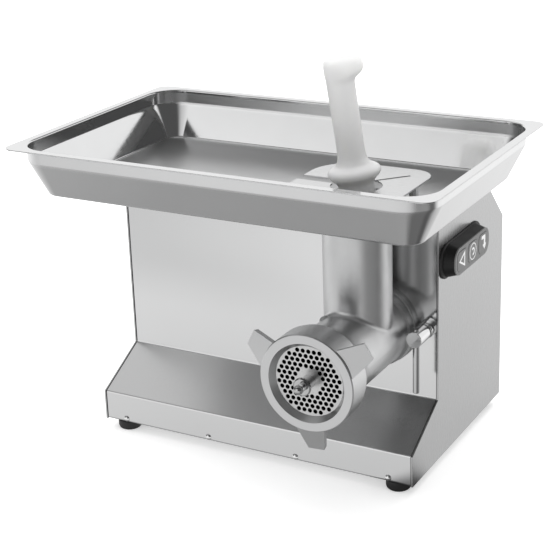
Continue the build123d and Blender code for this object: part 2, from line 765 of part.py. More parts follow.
motor_front, motor_back = 76.0, 178.0
motor_radius = 66.0
with BuildPart() as bearings:
    for centre, outer, bore, fronts in (
            (head, 26.0, hub_radius + 0.05, (case_front, case_back)),
            (idler, 20.0, idler_radius + 0.05, (case_front, case_back)),
            (motor, 17.5, rotor_shaft_radius + 0.05, (case_back, motor_back))):
        groove = (outer + bore) / 2
        for front in fronts:
            back = front + (10 if front == case_front else 8)
            turned(centre, [(bore, front), (groove - 1.5, front), (groove - 1.5, front + 0.6),
                            (groove + 1.5, front + 0.6), (groove + 1.5, front), (outer, front),
                            (outer, back), (bore, back)])
save(bearings, "bearings")

with BuildPart() as shaft_seal:
    turned(head, [(hub_radius + 0.05, 17), (hub_radius + 2, 17), (hub_radius + 2, 21), (22, 21), (22, 17),
                  (24, 17), (24, 23.9), (hub_radius + 0.05, 23.9)])
save(shaft_seal, "shaft_seal")

with BuildPart() as motor_housing:
    drum(motor, motor_front, motor_back, motor_radius, bore=motor_radius - 4)
    fins = 24
    with BuildSketch(facing_front(motor_back - 8)):
        with Locations(motor):
            with PolarLocations(motor_radius + 1.5, fins):
                Rectangle(6, 2)
    extrude(amount=motor_back - motor_front - 14)
save(motor_housing, "motor_housing")

with BuildPart() as motor_end_cover:
    drum(motor, motor_back, motor_back + 8, motor_radius, bore=17.5)
    with BuildSketch(facing_front(motor_back + 9)):
        with Locations(motor):
            with PolarLocations(42, 8):
                Circle(8)
    extrude(amount=10, mode=Mode.SUBTRACT)
save(motor_end_cover, "motor_end_cover")

with BuildPart() as stator:
    drum(motor, 92, 154, motor_radius - 4.1, bore=36.5)
    drum(motor, 84, 162, 54, bore=38)
    drum(motor, 83, 163, 36.5, mode=Mode.SUBTRACT)
save(stator, "stator")

with BuildPart() as rotor:
    turned(motor, [(0, 50), (rotor_shaft_radius, 50), (rotor_shaft_radius, 91), (12, 91), (12, 92),
                   (35.8, 92), (35.8, 154), (12, 154), (12, 158), (rotor_shaft_radius, 158),
                   (rotor_shaft_radius, 188), (0, 188)])
save(rotor, "rotor")

with BuildPart() as cooling_fan:
    drum(motor, 165, 175, 16, bore=rotor_shaft_radius + 0.02)
    drum(motor, 165, 167, 52, bore=rotor_shaft_radius + 0.02)
    blades = 8
    with BuildSketch(facing_front(175)):
        with Locations(motor):
            with PolarLocations(33, blades):
                Rectangle(38, 2)
    extrude(amount=9)
save(cooling_fan, "cooling_fan")

base_top = floor_z + sheet
with BuildPart() as gearbox_stand:
    block((-60, case_front + 4, base_top), (150, case_back + 4, base_top + 4))
    for x in (-30, 120):
        block((x - 4, case_front + 4, base_top), (x + 4, case_back + 4, 118))
    with BuildSketch(facing_front(case_back + 9)):
        case_outline(case_wall + 0.05)
    extrude(amount=60, mode=Mode.SUBTRACT)
save(gearbox_stand, "gearbox_stand")

# ---- electrics --------------------------------------------------------------------------

with BuildPart() as contactor:
    block((-190, 40, 40), (-130, 95, 115))
    block((-184, 46, 115), (-136, 89, 122))
save(contactor, "contactor")

with BuildPart() as contactor_bracket:
    block((-200, 30, base_top), (-120, 36, 120))
    block((-200, 36, base_top), (-120, 100, base_top + 2))
    block((-190, 36, 38), (-130, 95, 40))
save(contactor_bracket, "contactor_bracket")

capacitor_axis = (-160, 200)
capacitor_radius = 20.0
with BuildPart() as capacitor:
    drum(capacitor_axis, 60, 150, capacitor_radius)
    drum(capacitor_axis, 150, 153, 17)
    for x in (-167, -153):
        block((x - 3, 153, 199), (x + 3, 163, 200))
save(capacitor, "capacitor")

with BuildPart() as capacitor_clip:
    drum(capacitor_axis, 95, 110, capacitor_radius + 2, bore=capacitor_radius + 0.05)
    block((left_face + sheet + 0.5, 95, 199), (-181.9, 110, 201))
save(capacitor_clip, "capacitor_clip")
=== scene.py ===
import math

import bmesh
import bpy
from mathutils import Matrix, Vector


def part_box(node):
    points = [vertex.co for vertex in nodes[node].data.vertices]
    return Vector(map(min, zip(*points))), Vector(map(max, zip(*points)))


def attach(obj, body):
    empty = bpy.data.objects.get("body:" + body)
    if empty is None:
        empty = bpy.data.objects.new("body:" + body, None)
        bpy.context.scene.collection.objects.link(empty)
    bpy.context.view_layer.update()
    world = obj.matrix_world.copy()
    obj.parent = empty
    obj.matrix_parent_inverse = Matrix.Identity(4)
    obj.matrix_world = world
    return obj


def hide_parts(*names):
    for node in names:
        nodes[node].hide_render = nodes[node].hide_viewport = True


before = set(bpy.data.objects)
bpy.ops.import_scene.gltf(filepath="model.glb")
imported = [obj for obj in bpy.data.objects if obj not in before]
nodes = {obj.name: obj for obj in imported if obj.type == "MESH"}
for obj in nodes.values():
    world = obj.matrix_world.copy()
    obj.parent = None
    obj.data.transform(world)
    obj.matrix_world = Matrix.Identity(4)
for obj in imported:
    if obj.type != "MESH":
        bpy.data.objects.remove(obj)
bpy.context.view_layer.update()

# Looks for the meat grinder: camera, light, materials and the pieces that stand for plain CAD
# shapes. Everything is in metres, in the frame of the CAD model.

MM = 0.001

# where the CAD has its head, neck hole, guard plate and pusher
HEAD_X, NECK_Y = 113 * MM, -55 * MM
NECK_HOLE = 37.4 * MM
GUARD_TOP = 339 * MM
PUSHER_TILT = math.radians(8.6)


# ---- camera -------------------------------------------------------------------------------

CAMERA_PLACE = (0.7342, -1.3321, 0.7729)
CAMERA_AZIMUTH = math.radians(29.40)
CAMERA_DOWN = math.radians(19.08)
CAMERA_ROLL = math.radians(-1.983)
LENS = 94.10
SHIFT_Y = -0.0636


def make_camera():
    """A camera right of the head, a little above the tray, with its own small roll."""
    az, down, roll = CAMERA_AZIMUTH, CAMERA_DOWN, CAMERA_ROLL
    forward = Vector((-math.sin(az) * math.cos(down), math.cos(az) * math.cos(down), -math.sin(down)))
    level = Vector((math.cos(az), math.sin(az), 0))
    above = level.cross(forward)
    right = level * math.cos(roll) + above * math.sin(roll)
    up = above * math.cos(roll) - level * math.sin(roll)
    data = bpy.data.cameras.new("camera")
    data.lens = LENS
    data.sensor_width = 36.0
    data.shift_y = SHIFT_Y
    data.clip_end = 60.0
    camera = bpy.data.objects.new("camera", data)
    bpy.context.scene.collection.objects.link(camera)
    turn = Matrix((right, up, -forward)).transposed()
    camera.matrix_world = Matrix.Translation(CAMERA_PLACE) @ turn.to_4x4()
    bpy.context.scene.camera = camera


# ---- node helpers -------------------------------------------------------------------------


def new_material(name):
    """An empty node material with its output."""
    material = bpy.data.materials.new(name)
    material.use_nodes = True
    tree = material.node_tree
    tree.nodes.clear()
    output = tree.nodes.new("ShaderNodeOutputMaterial")
    return material, tree, output


def add(tree, kind, inputs=None, **settings):
    """A node with its settings and its unlinked or linked inputs."""
    node = tree.nodes.new(kind)
    for key, value in settings.items():
        setattr(node, key, value)
    for key, value in (inputs or {}).items():
        if isinstance(value, bpy.types.NodeSocket):
            tree.links.new(value, node.inputs[key])
        else:
            node.inputs[key].default_value = value
    return node


def grey(value, tint=0.0):
    """A nearly neutral colour: positive tint is cooler."""
    return (value * (1 - tint), value, value * (1 + tint), 1.0)


def stretched(tree, scale):
    """Object coordinates, scaled differently along each axis."""
    where = add(tree, "ShaderNodeTexCoord")
    inputs = {"Vector": where.outputs["Object"], "Scale": scale}
    return add(tree, "ShaderNodeMapping", inputs).outputs["Vector"]


def noise(tree, scale, detail=3.0, roughness=0.5):
    """The grey of a noise whose cells are 1/scale metres long along each axis."""
    return add(tree, "ShaderNodeTexNoise", {"Vector": stretched(tree, scale), "Scale": 1.0,
                                            "Detail": detail, "Roughness": roughness}).outputs["Fac"]


def spread(tree, value, low, high, start=0.3, end=0.7):
    """A grey between start and end, taken to the range low to high."""
    return add(tree, "ShaderNodeMapRange", {"Value": value, "From Min": start, "From Max": end,
                                            "To Min": low, "To Max": high}).outputs["Result"]


def calculate(tree, operation, first, second=0.0):
    """One step of arithmetic."""
    return add(tree, "ShaderNodeMath", {0: first, 1: second}, operation=operation).outputs["Value"]


def two_greys(tree, factor, dark, light):
    """A colour between two."""
    mix = add(tree, "ShaderNodeMix", {"Factor": factor}, data_type="RGBA")
    low, high = [socket for socket in mix.inputs if socket.type == "RGBA"]
    low.default_value = dark
    high.default_value = light
    return [socket for socket in mix.outputs if socket.type == "RGBA"][0]


def bump(tree, height, strength, distance, normal=None):
    """A bump from a height, over an earlier one."""
    inputs = {"Height": height, "Strength": strength, "Distance": distance}
    if normal is not None:
        inputs["Normal"] = normal
    return add(tree, "ShaderNodeBump", inputs).outputs["Normal"]


def smooth_step(tree, value, edge, soft):
    """Zero below an edge and one above it, with a soft change between."""
    inputs = {"Value": value, "From Min": edge - soft, "From Max": edge + soft}
    return add(tree, "ShaderNodeMapRange", inputs, interpolation_type="SMOOTHSTEP").outputs["Result"]


def window(tree, value, low, high, soft):
    """One between two edges and zero outside them."""
    rise = smooth_step(tree, value, low, soft)
    return calculate(tree, "SUBTRACT", rise, smooth_step(tree, value, high, soft))


# ---- materials ----------------------------------------------------------------------------


def brushed_sheet(name, along, light=0.70, rough=(0.20, 0.27), grain=0.06, slope_haze=0.0):
    """Satin sheet: fine brush marks that run along one axis, and hazier where it slopes upward."""
    material, tree, output = new_material(name)
    fine = [2600.0, 2600.0, 2600.0]
    fine["XYZ".index(along)] = 24.0
    marks = noise(tree, fine, 4.0, 0.6)
    clouds = noise(tree, (7.0, 7.0, 7.0), 2.0)
    colour = two_greys(tree, clouds, grey(light * 0.96, 0.002), grey(light * 1.02, 0.004))
    roughness = spread(tree, marks, rough[0], rough[1])
    if slope_haze:
        facing = add(tree, "ShaderNodeTexCoord").outputs["Normal"]
        upward = add(tree, "ShaderNodeSeparateXYZ", {"Vector": facing}).outputs["Z"]
        roughness = calculate(tree, "ADD", roughness, spread(tree, upward, 0.0, slope_haze, 0.3, 0.5))
    surface = add(tree, "ShaderNodeBsdfPrincipled",
                  {"Base Color": colour, "Metallic": 1.0, "Roughness": roughness,
                   "Normal": bump(tree, marks, grain, 0.00002)})
    tree.links.new(surface.outputs["BSDF"], output.inputs["Surface"])
    return material


def polished_sheet(name, light=0.78, rough=(0.08, 0.12), floor_rough=0.30, band_rough=0.32,
                   beneath_rough=0.55):
    """Pressed sheet: polished rim and tapered walls, satin floor and long bands, a dull underside."""
    material, tree, output = new_material(name)
    low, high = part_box("tray")
    waves = noise(tree, (22.0, 22.0, 22.0), 2.0)
    haze = noise(tree, (160.0, 160.0, 160.0), 4.0)
    where = add(tree, "ShaderNodeTexCoord").outputs["Object"]
    height = add(tree, "ShaderNodeSeparateXYZ", {"Vector": where}).outputs["Z"]
    in_floor = spread(tree, height, floor_rough, 0.0, low.z + 2 * MM, low.z + 3.5 * MM)
    normal = add(tree, "ShaderNodeTexCoord").outputs["Normal"]
    facing = add(tree, "ShaderNodeSeparateXYZ", {"Vector": normal}).outputs
    long_side = spread(tree, calculate(tree, "ABSOLUTE", facing["Y"]), 0.0, band_rough, 0.3, 0.9)
    over_step = window(tree, height, high.z - 18 * MM, high.z - 3.5 * MM, 1 * MM)
    in_band = calculate(tree, "MULTIPLY", long_side, over_step)
    colour = two_greys(tree, waves, grey(light * 0.97, 0.003), grey(light * 1.02, 0.003))
    beneath = spread(tree, facing["Z"], beneath_rough, 0.0, -0.95, -0.85)
    satin = calculate(tree, "MAXIMUM", calculate(tree, "MAXIMUM", in_floor, in_band), beneath)
    roughness = calculate(tree, "MAXIMUM", spread(tree, haze, *rough), satin)
    surface = add(tree, "ShaderNodeBsdfPrincipled",
                  {"Base Color": colour, "Metallic": 1.0, "Roughness": roughness,
                   "Normal": bump(tree, waves, 0.12, 0.0006)})
    tree.links.new(surface.outputs["BSDF"], output.inputs["Surface"])
    return material


def blasted_casting(name, light=0.60, rough=(0.32, 0.42)):
    """Bead-blasted stainless casting: a fine even grain over slight unevenness."""
    material, tree, output = new_material(name)
    beads = noise(tree, (1500.0, 1500.0, 1500.0), 2.0, 0.6)
    skin = noise(tree, (60.0, 60.0, 60.0), 4.0, 0.55)
    colour = two_greys(tree, skin, grey(light * 0.93, 0.004), grey(light * 1.05, 0.004))
    roughness = spread(tree, skin, rough[0], rough[1])
    normal = bump(tree, skin, 0.25, 0.0002)
    normal = bump(tree, beads, 0.25, 0.00004, normal)
    surface = add(tree, "ShaderNodeBsdfPrincipled",
                  {"Base Color": colour, "Metallic": 1.0, "Roughness": roughness, "Normal": normal})
    tree.links.new(surface.outputs["BSDF"], output.inputs["Surface"])
    return material


def turned_metal(name, light=0.62, rough=(0.16, 0.24)):
    """Turned or ground metal, with rings too fine to see one by one."""
    material, tree, output = new_material(name)
    rings = noise(tree, (900.0, 900.0, 900.0), 3.0)
    colour = two_greys(tree, rings, grey(light * 0.96, 0.003), grey(light * 1.03, 0.003))
    roughness = spread(tree, rings, rough[0], rough[1])
    surface = add(tree, "ShaderNodeBsdfPrincipled",
                  {"Base Color": colour, "Metallic": 1.0, "Roughness": roughness,
                   "Normal": bump(tree, rings, 0.1, 0.00002)})
    tree.links.new(surface.outputs["BSDF"], output.inputs["Surface"])
    return material


def moulded(name, light, rough=(0.45, 0.6), tint=0.0, texture=0.3, subsurface=0.0, gloss=0.5):
    """Moulded plastic or rubber with a fine eroded texture."""
    material, tree, output = new_material(name)
    pits = noise(tree, (1800.0, 1800.0, 1800.0), 3.0, 0.6)
    clouds = noise(tree, (40.0, 40.0, 40.0), 3.0)
    colour = two_greys(tree, clouds, grey(light * 0.94, tint), grey(light * 1.04, tint))
    roughness = spread(tree, clouds, rough[0], rough[1])
    surface = add(tree, "ShaderNodeBsdfPrincipled",
                  {"Base Color": colour, "Roughness": roughness, "Specular IOR Level": gloss,
                   "Normal": bump(tree, pits, texture, 0.00006)})
    if subsurface:
        surface.inputs["Subsurface Weight"].default_value = subsurface
        surface.inputs["Subsurface Radius"].default_value = (1.0, 1.0, 0.95)
        surface.inputs["Subsurface Scale"].default_value = 0.02
    tree.links.new(surface.outputs["BSDF"], output.inputs["Surface"])
    return material


def drilled_plate(name):
    """A ground face whose drilled holes get painted shade, going dark just behind it."""
    material, tree, output = new_material(name)
    low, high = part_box("grinding_plate")
    rings = noise(tree, (1400.0, 200.0, 1400.0), 3.0)
    place = add(tree, "ShaderNodeTexCoord").outputs["Object"]
    depth = add(tree, "ShaderNodeSeparateXYZ", {"Vector": place}).outputs["Y"]
    # painted shade: the hole walls go near black from just behind the face
    painted_hole_shade = spread(tree, depth, 0.0, 1.0, low.y + 0.05 * MM, low.y + 0.4 * MM)
    colour = two_greys(tree, painted_hole_shade, grey(0.62), grey(0.02))
    surface = add(tree, "ShaderNodeBsdfPrincipled",
                  {"Base Color": colour, "Metallic": 1.0, "Roughness": spread(tree, rings, 0.26, 0.34),
                   "Normal": bump(tree, rings, 0.15, 0.00002)})
    tree.links.new(surface.outputs["BSDF"], output.inputs["Surface"])
    return material


def winding(name):
    """Varnished copper wire, laid in turns."""
    material, tree, output = new_material(name)
    wires = noise(tree, (90.0, 90.0, 1400.0), 2.0)
    colour = two_greys(tree, wires, (0.26, 0.10, 0.04, 1), (0.55, 0.25, 0.10, 1))
    surface = add(tree, "ShaderNodeBsdfPrincipled",
                  {"Base Color": colour, "Metallic": 1.0, "Roughness": spread(tree, wires, 0.3, 0.45),
                   "Normal": bump(tree, wires, 0.5, 0.0003)})
    tree.links.new(surface.outputs["BSDF"], output.inputs["Surface"])
    return material


materials = {
    "front_sheet": brushed_sheet("front_sheet", "Z", 0.69, (0.10, 0.15), 0.04, 0.16),
    "upright_sheet": brushed_sheet("upright_sheet", "Z"),
    "side_sheet": brushed_sheet("side_sheet", "Z", 0.49, (0.24, 0.30)),
    "inner_sheet": brushed_sheet("inner_sheet", "X", 0.55, (0.3, 0.4)),
    "plate_sheet": brushed_sheet("plate_sheet", "X", 0.80, (0.26, 0.34)),
    "tray_sheet": polished_sheet("tray_sheet"),
    "casting": blasted_casting("casting", 0.66),
    "turned": turned_metal("turned"),
    "drilled_plate": drilled_plate("drilled_plate"),
    "chrome": turned_metal("chrome", 0.80, (0.05, 0.09)),
    "gear_steel": turned_metal("gear_steel", 0.42, (0.2, 0.3)),
    "die_casting": blasted_casting("die_casting", 0.60, (0.4, 0.55)),
    "laminations": turned_metal("laminations", 0.30, (0.35, 0.45)),
    "winding": winding("winding"),
    "rubber": moulded("rubber", 0.012, (0.5, 0.62)),
    "boot_rubber": moulded("boot_rubber", 0.006, (0.40, 0.52), 0.0, 0.3, 0.0, 0.35),
    "black_plastic": moulded("black_plastic", 0.02, (0.4, 0.5)),
    "grey_plastic": moulded("grey_plastic", 0.16, (0.42, 0.55)),
    "white_print": moulded("white_print", 0.75, (0.4, 0.5)),
    "polyethylene": moulded("polyethylene", 0.70, (0.35, 0.45), 0.0, 0.12, 0.9),
    "stud_steel": turned_metal("stud_steel", 0.52, (0.06, 0.12)),
}

FINISHES = {
    "front_sheet": ["front_cover"],
    "upright_sheet": ["rear_cover", "top_plate"],
    "side_sheet": ["side_panel_left", "side_panel_right"],
    "inner_sheet": ["base_plate", "gearbox_stand", "contactor_bracket", "capacitor_clip"],
    "plate_sheet": ["guard_plate", "guard_posts"],
    "tray_sheet": ["tray"],
    "casting": ["head_socket", "barrel", "auger", "ring_nut"],
    "drilled_plate": ["grinding_plate"],
    "turned": ["knife", "plate_key", "foot_screws", "socket_screws", "bearings"],
    "chrome": ["lip_screws", "rear_screws", "clamp_knob", "clamp_lever", "clamp_bush"],
    "stud_steel": ["auger_stud"],
    "gear_steel": ["output_gear", "idler_pinion", "idler_gear", "motor_pinion", "idler_shaft", "drive_hub"],
    "die_casting": ["gearbox_case", "gearbox_cover", "motor_housing", "motor_end_cover", "capacitor"],
    "laminations": ["rotor"],
    "winding": ["stator"],
    "rubber": ["feet", "shaft_seal", "switch_gasket"],
    "boot_rubber": ["switch_housing"],
    "black_plastic": ["power_inlet", "cooling_fan", "contactor"],
    "grey_plastic": ["switch_face", "button_forward", "button_stop", "button_reverse"],
    "polyethylene": ["pusher"],
}


def finish_nodes():
    """Every CAD node gets its own material."""
    for finish, names in FINISHES.items():
        for name in names:
            mesh = nodes[name].data
            mesh.materials.clear()
            mesh.materials.append(materials[finish])


# ---- light and floor ----------------------------------------------------------------------


# How bright the painted glow on the floor is for reflections, from straight down to grazing. Painted shade
# darkens parts
# of it, as dark cards would: compass ranges round the head, in degrees from the front towards the right,
# softness and depth.
FLOOR_GLOW = (0.29, 1.0)
PAINTED_CARD_SHADE = ((40, 114, 14, 0.78), (88, 112, 8, 0.18))
LEFT_SHADE = 0.22             # far to the left of the head
FAR_SHADE = 0.24              # a metre in front of it


def make_floor():
    """A plain white floor, wide enough to fill the view. Reflections see it as a darker painted glow, with
    painted shade for cards.
    """
    mesh = bpy.data.meshes.new("floor")
    reach = 30.0
    corners = [(-reach, -reach, 0), (reach, -reach, 0), (reach, reach, 0), (-reach, reach, 0)]
    mesh.from_pydata(corners, [], [(0, 1, 2, 3)])
    floor = bpy.data.objects.new("floor", mesh)
    bpy.context.scene.collection.objects.link(floor)
    material, tree, output = new_material("floor")
    ray = add(tree, "ShaderNodeLightPath")
    paper = add(tree, "ShaderNodeBsdfDiffuse", {"Color": grey(0.92)})
    bounce = add(tree, "ShaderNodeEmission", {"Color": grey(1.0), "Strength": 0.43})
    lit_paper = add(tree, "ShaderNodeAddShader", {0: paper.outputs[0], 1: bounce.outputs[0]})
    # painted glow: reflections see the floor glowing, brighter towards grazing
    slant = add(tree, "ShaderNodeLayerWeight", {"Blend": 0.5}).outputs["Facing"]
    painted_glow = spread(tree, slant, *FLOOR_GLOW, 0.2, 0.72)
    where = add(tree, "ShaderNodeTexCoord").outputs["Object"]
    place = add(tree, "ShaderNodeSeparateXYZ", {"Vector": where}).outputs
    ahead = calculate(tree, "MULTIPLY", calculate(tree, "SUBTRACT", place["Y"], NECK_Y), -1.0)
    aside = calculate(tree, "SUBTRACT", place["X"], HEAD_X)
    turn = calculate(tree, "DEGREES", calculate(tree, "ARCTAN2", aside, ahead))
    # painted shade on that glow: compass windows round the head stand in for dark cards, then darker to the
    # left and far in front
    broad, narrow = [spread(tree, window(tree, turn, low, high, soft), 0.0, depth, 0.0, 1.0)
                     for low, high, soft, depth in PAINTED_CARD_SHADE]
    painted_card_dimming = calculate(tree, "ADD", broad, narrow)
    painted_glow = calculate(tree, "MULTIPLY", painted_glow, calculate(tree, "SUBTRACT", 1.0, painted_card_dimming))
    leftward = calculate(tree, "MULTIPLY", spread(tree, turn, LEFT_SHADE, 0.0, -54.0, -36.0),
                         spread(tree, ahead, 0.0, 1.0, 0.25, 0.40))
    painted_left_and_far_shade = calculate(tree, "ADD", leftward, spread(tree, ahead, 0.0, FAR_SHADE, 0.5, 1.0))
    painted_glow = calculate(tree, "MULTIPLY", painted_glow, calculate(tree, "SUBTRACT", 1.0, painted_left_and_far_shade))
    bench = add(tree, "ShaderNodeBsdfDiffuse", {"Color": grey(0.08)})
    glow = add(tree, "ShaderNodeEmission", {"Color": grey(1.0), "Strength": painted_glow})
    bench_with_painted_glow = add(tree, "ShaderNodeAddShader", {0: bench.outputs[0], 1: glow.outputs[0]})
    mix = add(tree, "ShaderNodeMixShader", {0: ray.outputs["Is Glossy Ray"], 1: lit_paper.outputs[0],
                                            2: bench_with_painted_glow.outputs[0]})
    tree.links.new(mix.outputs[0], output.inputs["Surface"])
    mesh.materials.append(material)


# The studio's light panels as reflections see them: compass range in degrees from the front
# towards the right, whether it is mirrored left to right, height range in degrees, softness, light.
PANELS = (
    ((-50, 10), False, (-12, 38), 14, 0.97),
    ((112, 200), True, (-12, 30), 6, 0.92),
    ((-178, -66), False, (36, 84), 12, 0.72),
)
ROOM_GLOW = 0.09
AMBIENT = 0.80


def make_light():
    """Soft studio light: panels in front, behind and high on the left, a soft light overhead, and a
    white backdrop. Reflections see the panels, and matt surfaces an even light."""
    world = bpy.data.worlds.new("studio")
    bpy.context.scene.world = world
    world.cycles.sampling_method = "NONE"
    world.use_nodes = True
    tree = world.node_tree
    tree.nodes.clear()
    toward = add(tree, "ShaderNodeTexCoord").outputs["Generated"]
    parts = add(tree, "ShaderNodeSeparateXYZ", {"Vector": toward}).outputs
    back = calculate(tree, "MULTIPLY", parts["Y"], -1.0)
    compass = calculate(tree, "DEGREES", calculate(tree, "ARCTAN2", parts["X"], back))
    height = calculate(tree, "DEGREES", calculate(tree, "ARCSINE", parts["Z"]))
    both_sides = calculate(tree, "ABSOLUTE", compass)
    total = None
    for compass_range, mirrored, height_range, soft, light in PANELS:
        turn = both_sides if mirrored else compass
        panel = calculate(tree, "MULTIPLY", window(tree, turn, *compass_range, soft),
                          window(tree, height, *height_range, soft))
        panel = calculate(tree, "MULTIPLY", panel, light)
        total = panel if total is None else calculate(tree, "ADD", total, panel)
    total = calculate(tree, "ADD", total, ROOM_GLOW)
    panels = add(tree, "ShaderNodeBackground", {"Color": grey(1.0), "Strength": total})
    ambient = add(tree, "ShaderNodeBackground", {"Color": grey(1.0), "Strength": AMBIENT})
    backdrop = add(tree, "ShaderNodeBackground", {"Color": grey(1.0), "Strength": 1.0})
    ray = add(tree, "ShaderNodeLightPath")
    seen = add(tree, "ShaderNodeMixShader", {0: ray.outputs["Is Glossy Ray"], 1: ambient.outputs[0],
                                             2: panels.outputs[0]})
    mix = add(tree, "ShaderNodeMixShader", {0: ray.outputs["Is Camera Ray"], 1: seen.outputs[0],
                                            2: backdrop.outputs[0]})
    output = add(tree, "ShaderNodeOutputWorld")
    tree.links.new(mix.outputs[0], output.inputs["Surface"])
    data = bpy.data.lights.new("overhead", "SUN")
    data.energy = 2.0
    data.angle = math.radians(70)
    overhead = bpy.data.objects.new("overhead", data)
    overhead.rotation_euler = (math.radians(-14), math.radians(-12), 0)
    overhead.visible_glossy = False
    bpy.context.scene.collection.objects.link(overhead)


def set_exposure():
    """Straight colours, as a product photograph has."""
    view = bpy.context.scene.view_settings
    view.view_transform = "Standard"
    view.look = "None"
    view.exposure = 0.0


# ---- pieces -------------------------------------------------------------------------------


def new_piece(name, mesh, finish, body, slot, *stands_for):
    """A finished piece on its body, standing for CAD nodes."""
    mesh.materials.clear()
    mesh.materials.append(materials[finish])
    piece = bpy.data.objects.new(name, mesh)
    bpy.context.scene.collection.objects.link(piece)
    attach(piece, body)
    if stands_for:
        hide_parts(*stands_for)
    return piece


def weighted(piece):
    """Large flat faces keep their own direction, and small bends shade between them."""
    modifier = piece.modifiers.new("weighted", "WEIGHTED_NORMAL")
    modifier.weight = 100
    modifier.keep_sharp = True


def smooth_mesh(bm, name):
    """A smooth-shaded mesh from a bmesh."""
    bmesh.ops.recalc_face_normals(bm, faces=bm.faces)
    for face in bm.faces:
        face.smooth = True
    mesh = bpy.data.meshes.new(name)
    bm.to_mesh(mesh)
    bm.free()
    return mesh


def rounded_copy(node, finish, body, slot, width, segments, sharper_than=28.0):
    """A copy of a CAD node whose hard edges are rounded, as the real piece's are."""
    bm = bmesh.new()
    bm.from_mesh(nodes[node].data)
    bmesh.ops.remove_doubles(bm, verts=bm.verts, dist=1e-6)
    bmesh.ops.dissolve_limit(bm, angle_limit=math.radians(0.4), verts=bm.verts, edges=bm.edges)
    hard = [e for e in bm.edges if len(e.link_faces) == 2
            and e.calc_face_angle(0.0) > math.radians(sharper_than)]
    bmesh.ops.bevel(bm, geom=hard, offset=width, offset_type="OFFSET", segments=segments, profile=0.5,
                    affect="EDGES", clamp_overlap=True)
    piece = new_piece(node + "_rounded", smooth_mesh(bm, node + "_rounded"), finish, body, slot, node)
    weighted(piece)
    return piece


# node, finish, body, slot, width of the rounding in millimetres, segments
ROUNDED = (
    ("ring_nut", "casting", "ring_nut", "cast_steel", 0.9, 3),
    ("head_socket", "casting", "housing", "cast_steel", 0.5, 2),
    ("side_panel_left", "side_sheet", "housing", "satin_steel", 0.3, 2),
    ("side_panel_right", "side_sheet", "housing", "satin_steel", 0.3, 2),
    ("guard_plate", "plate_sheet", "tray", "satin_steel", 0.4, 2),
    ("switch_housing", "boot_rubber", "housing", "black_rubber", 1.2, 4),
    ("switch_gasket", "rubber", "housing", "black_rubber", 0.6, 3),
    ("clamp_bush", "chrome", "housing", "chrome", 0.4, 2),
    ("feet", "rubber", "housing", "black_rubber", 0.6, 2),
)

ARC_STEPS = 12


def rounded_ring(bm, half_x, half_y, radius, z, middle_x, middle_y):
    """A ring of points round a rectangle with rounded corners."""
    ring = []
    for quarter in range(4):
        start = quarter * math.pi / 2
        corner_x = middle_x + (half_x - radius) * (1 if quarter in (0, 3) else -1)
        corner_y = middle_y + (half_y - radius) * (1 if quarter in (0, 1) else -1)
        for i in range(ARC_STEPS + 1):
            a = start + i * math.pi / 2 / ARC_STEPS
            place = (corner_x + radius * math.cos(a), corner_y + radius * math.sin(a), z)
            ring.append(bm.verts.new(place))
    return ring


def join_rings(bm, first, second):
    """A closed band of faces between two rings of the same length."""
    count = len(first)
    for i in range(count):
        j = (i + 1) % count
        bm.faces.new((first[i], first[j], second[j], second[i]))


def bend(centre, radius, start, end, steps):
    """Points along an arc in (inset, z), angles in degrees."""
    points = []
    for i in range(steps + 1):
        a = math.radians(start + (end - start) * i / steps)
        points.append((centre[0] + radius * math.cos(a), centre[1] + radius * math.sin(a)))
    return points


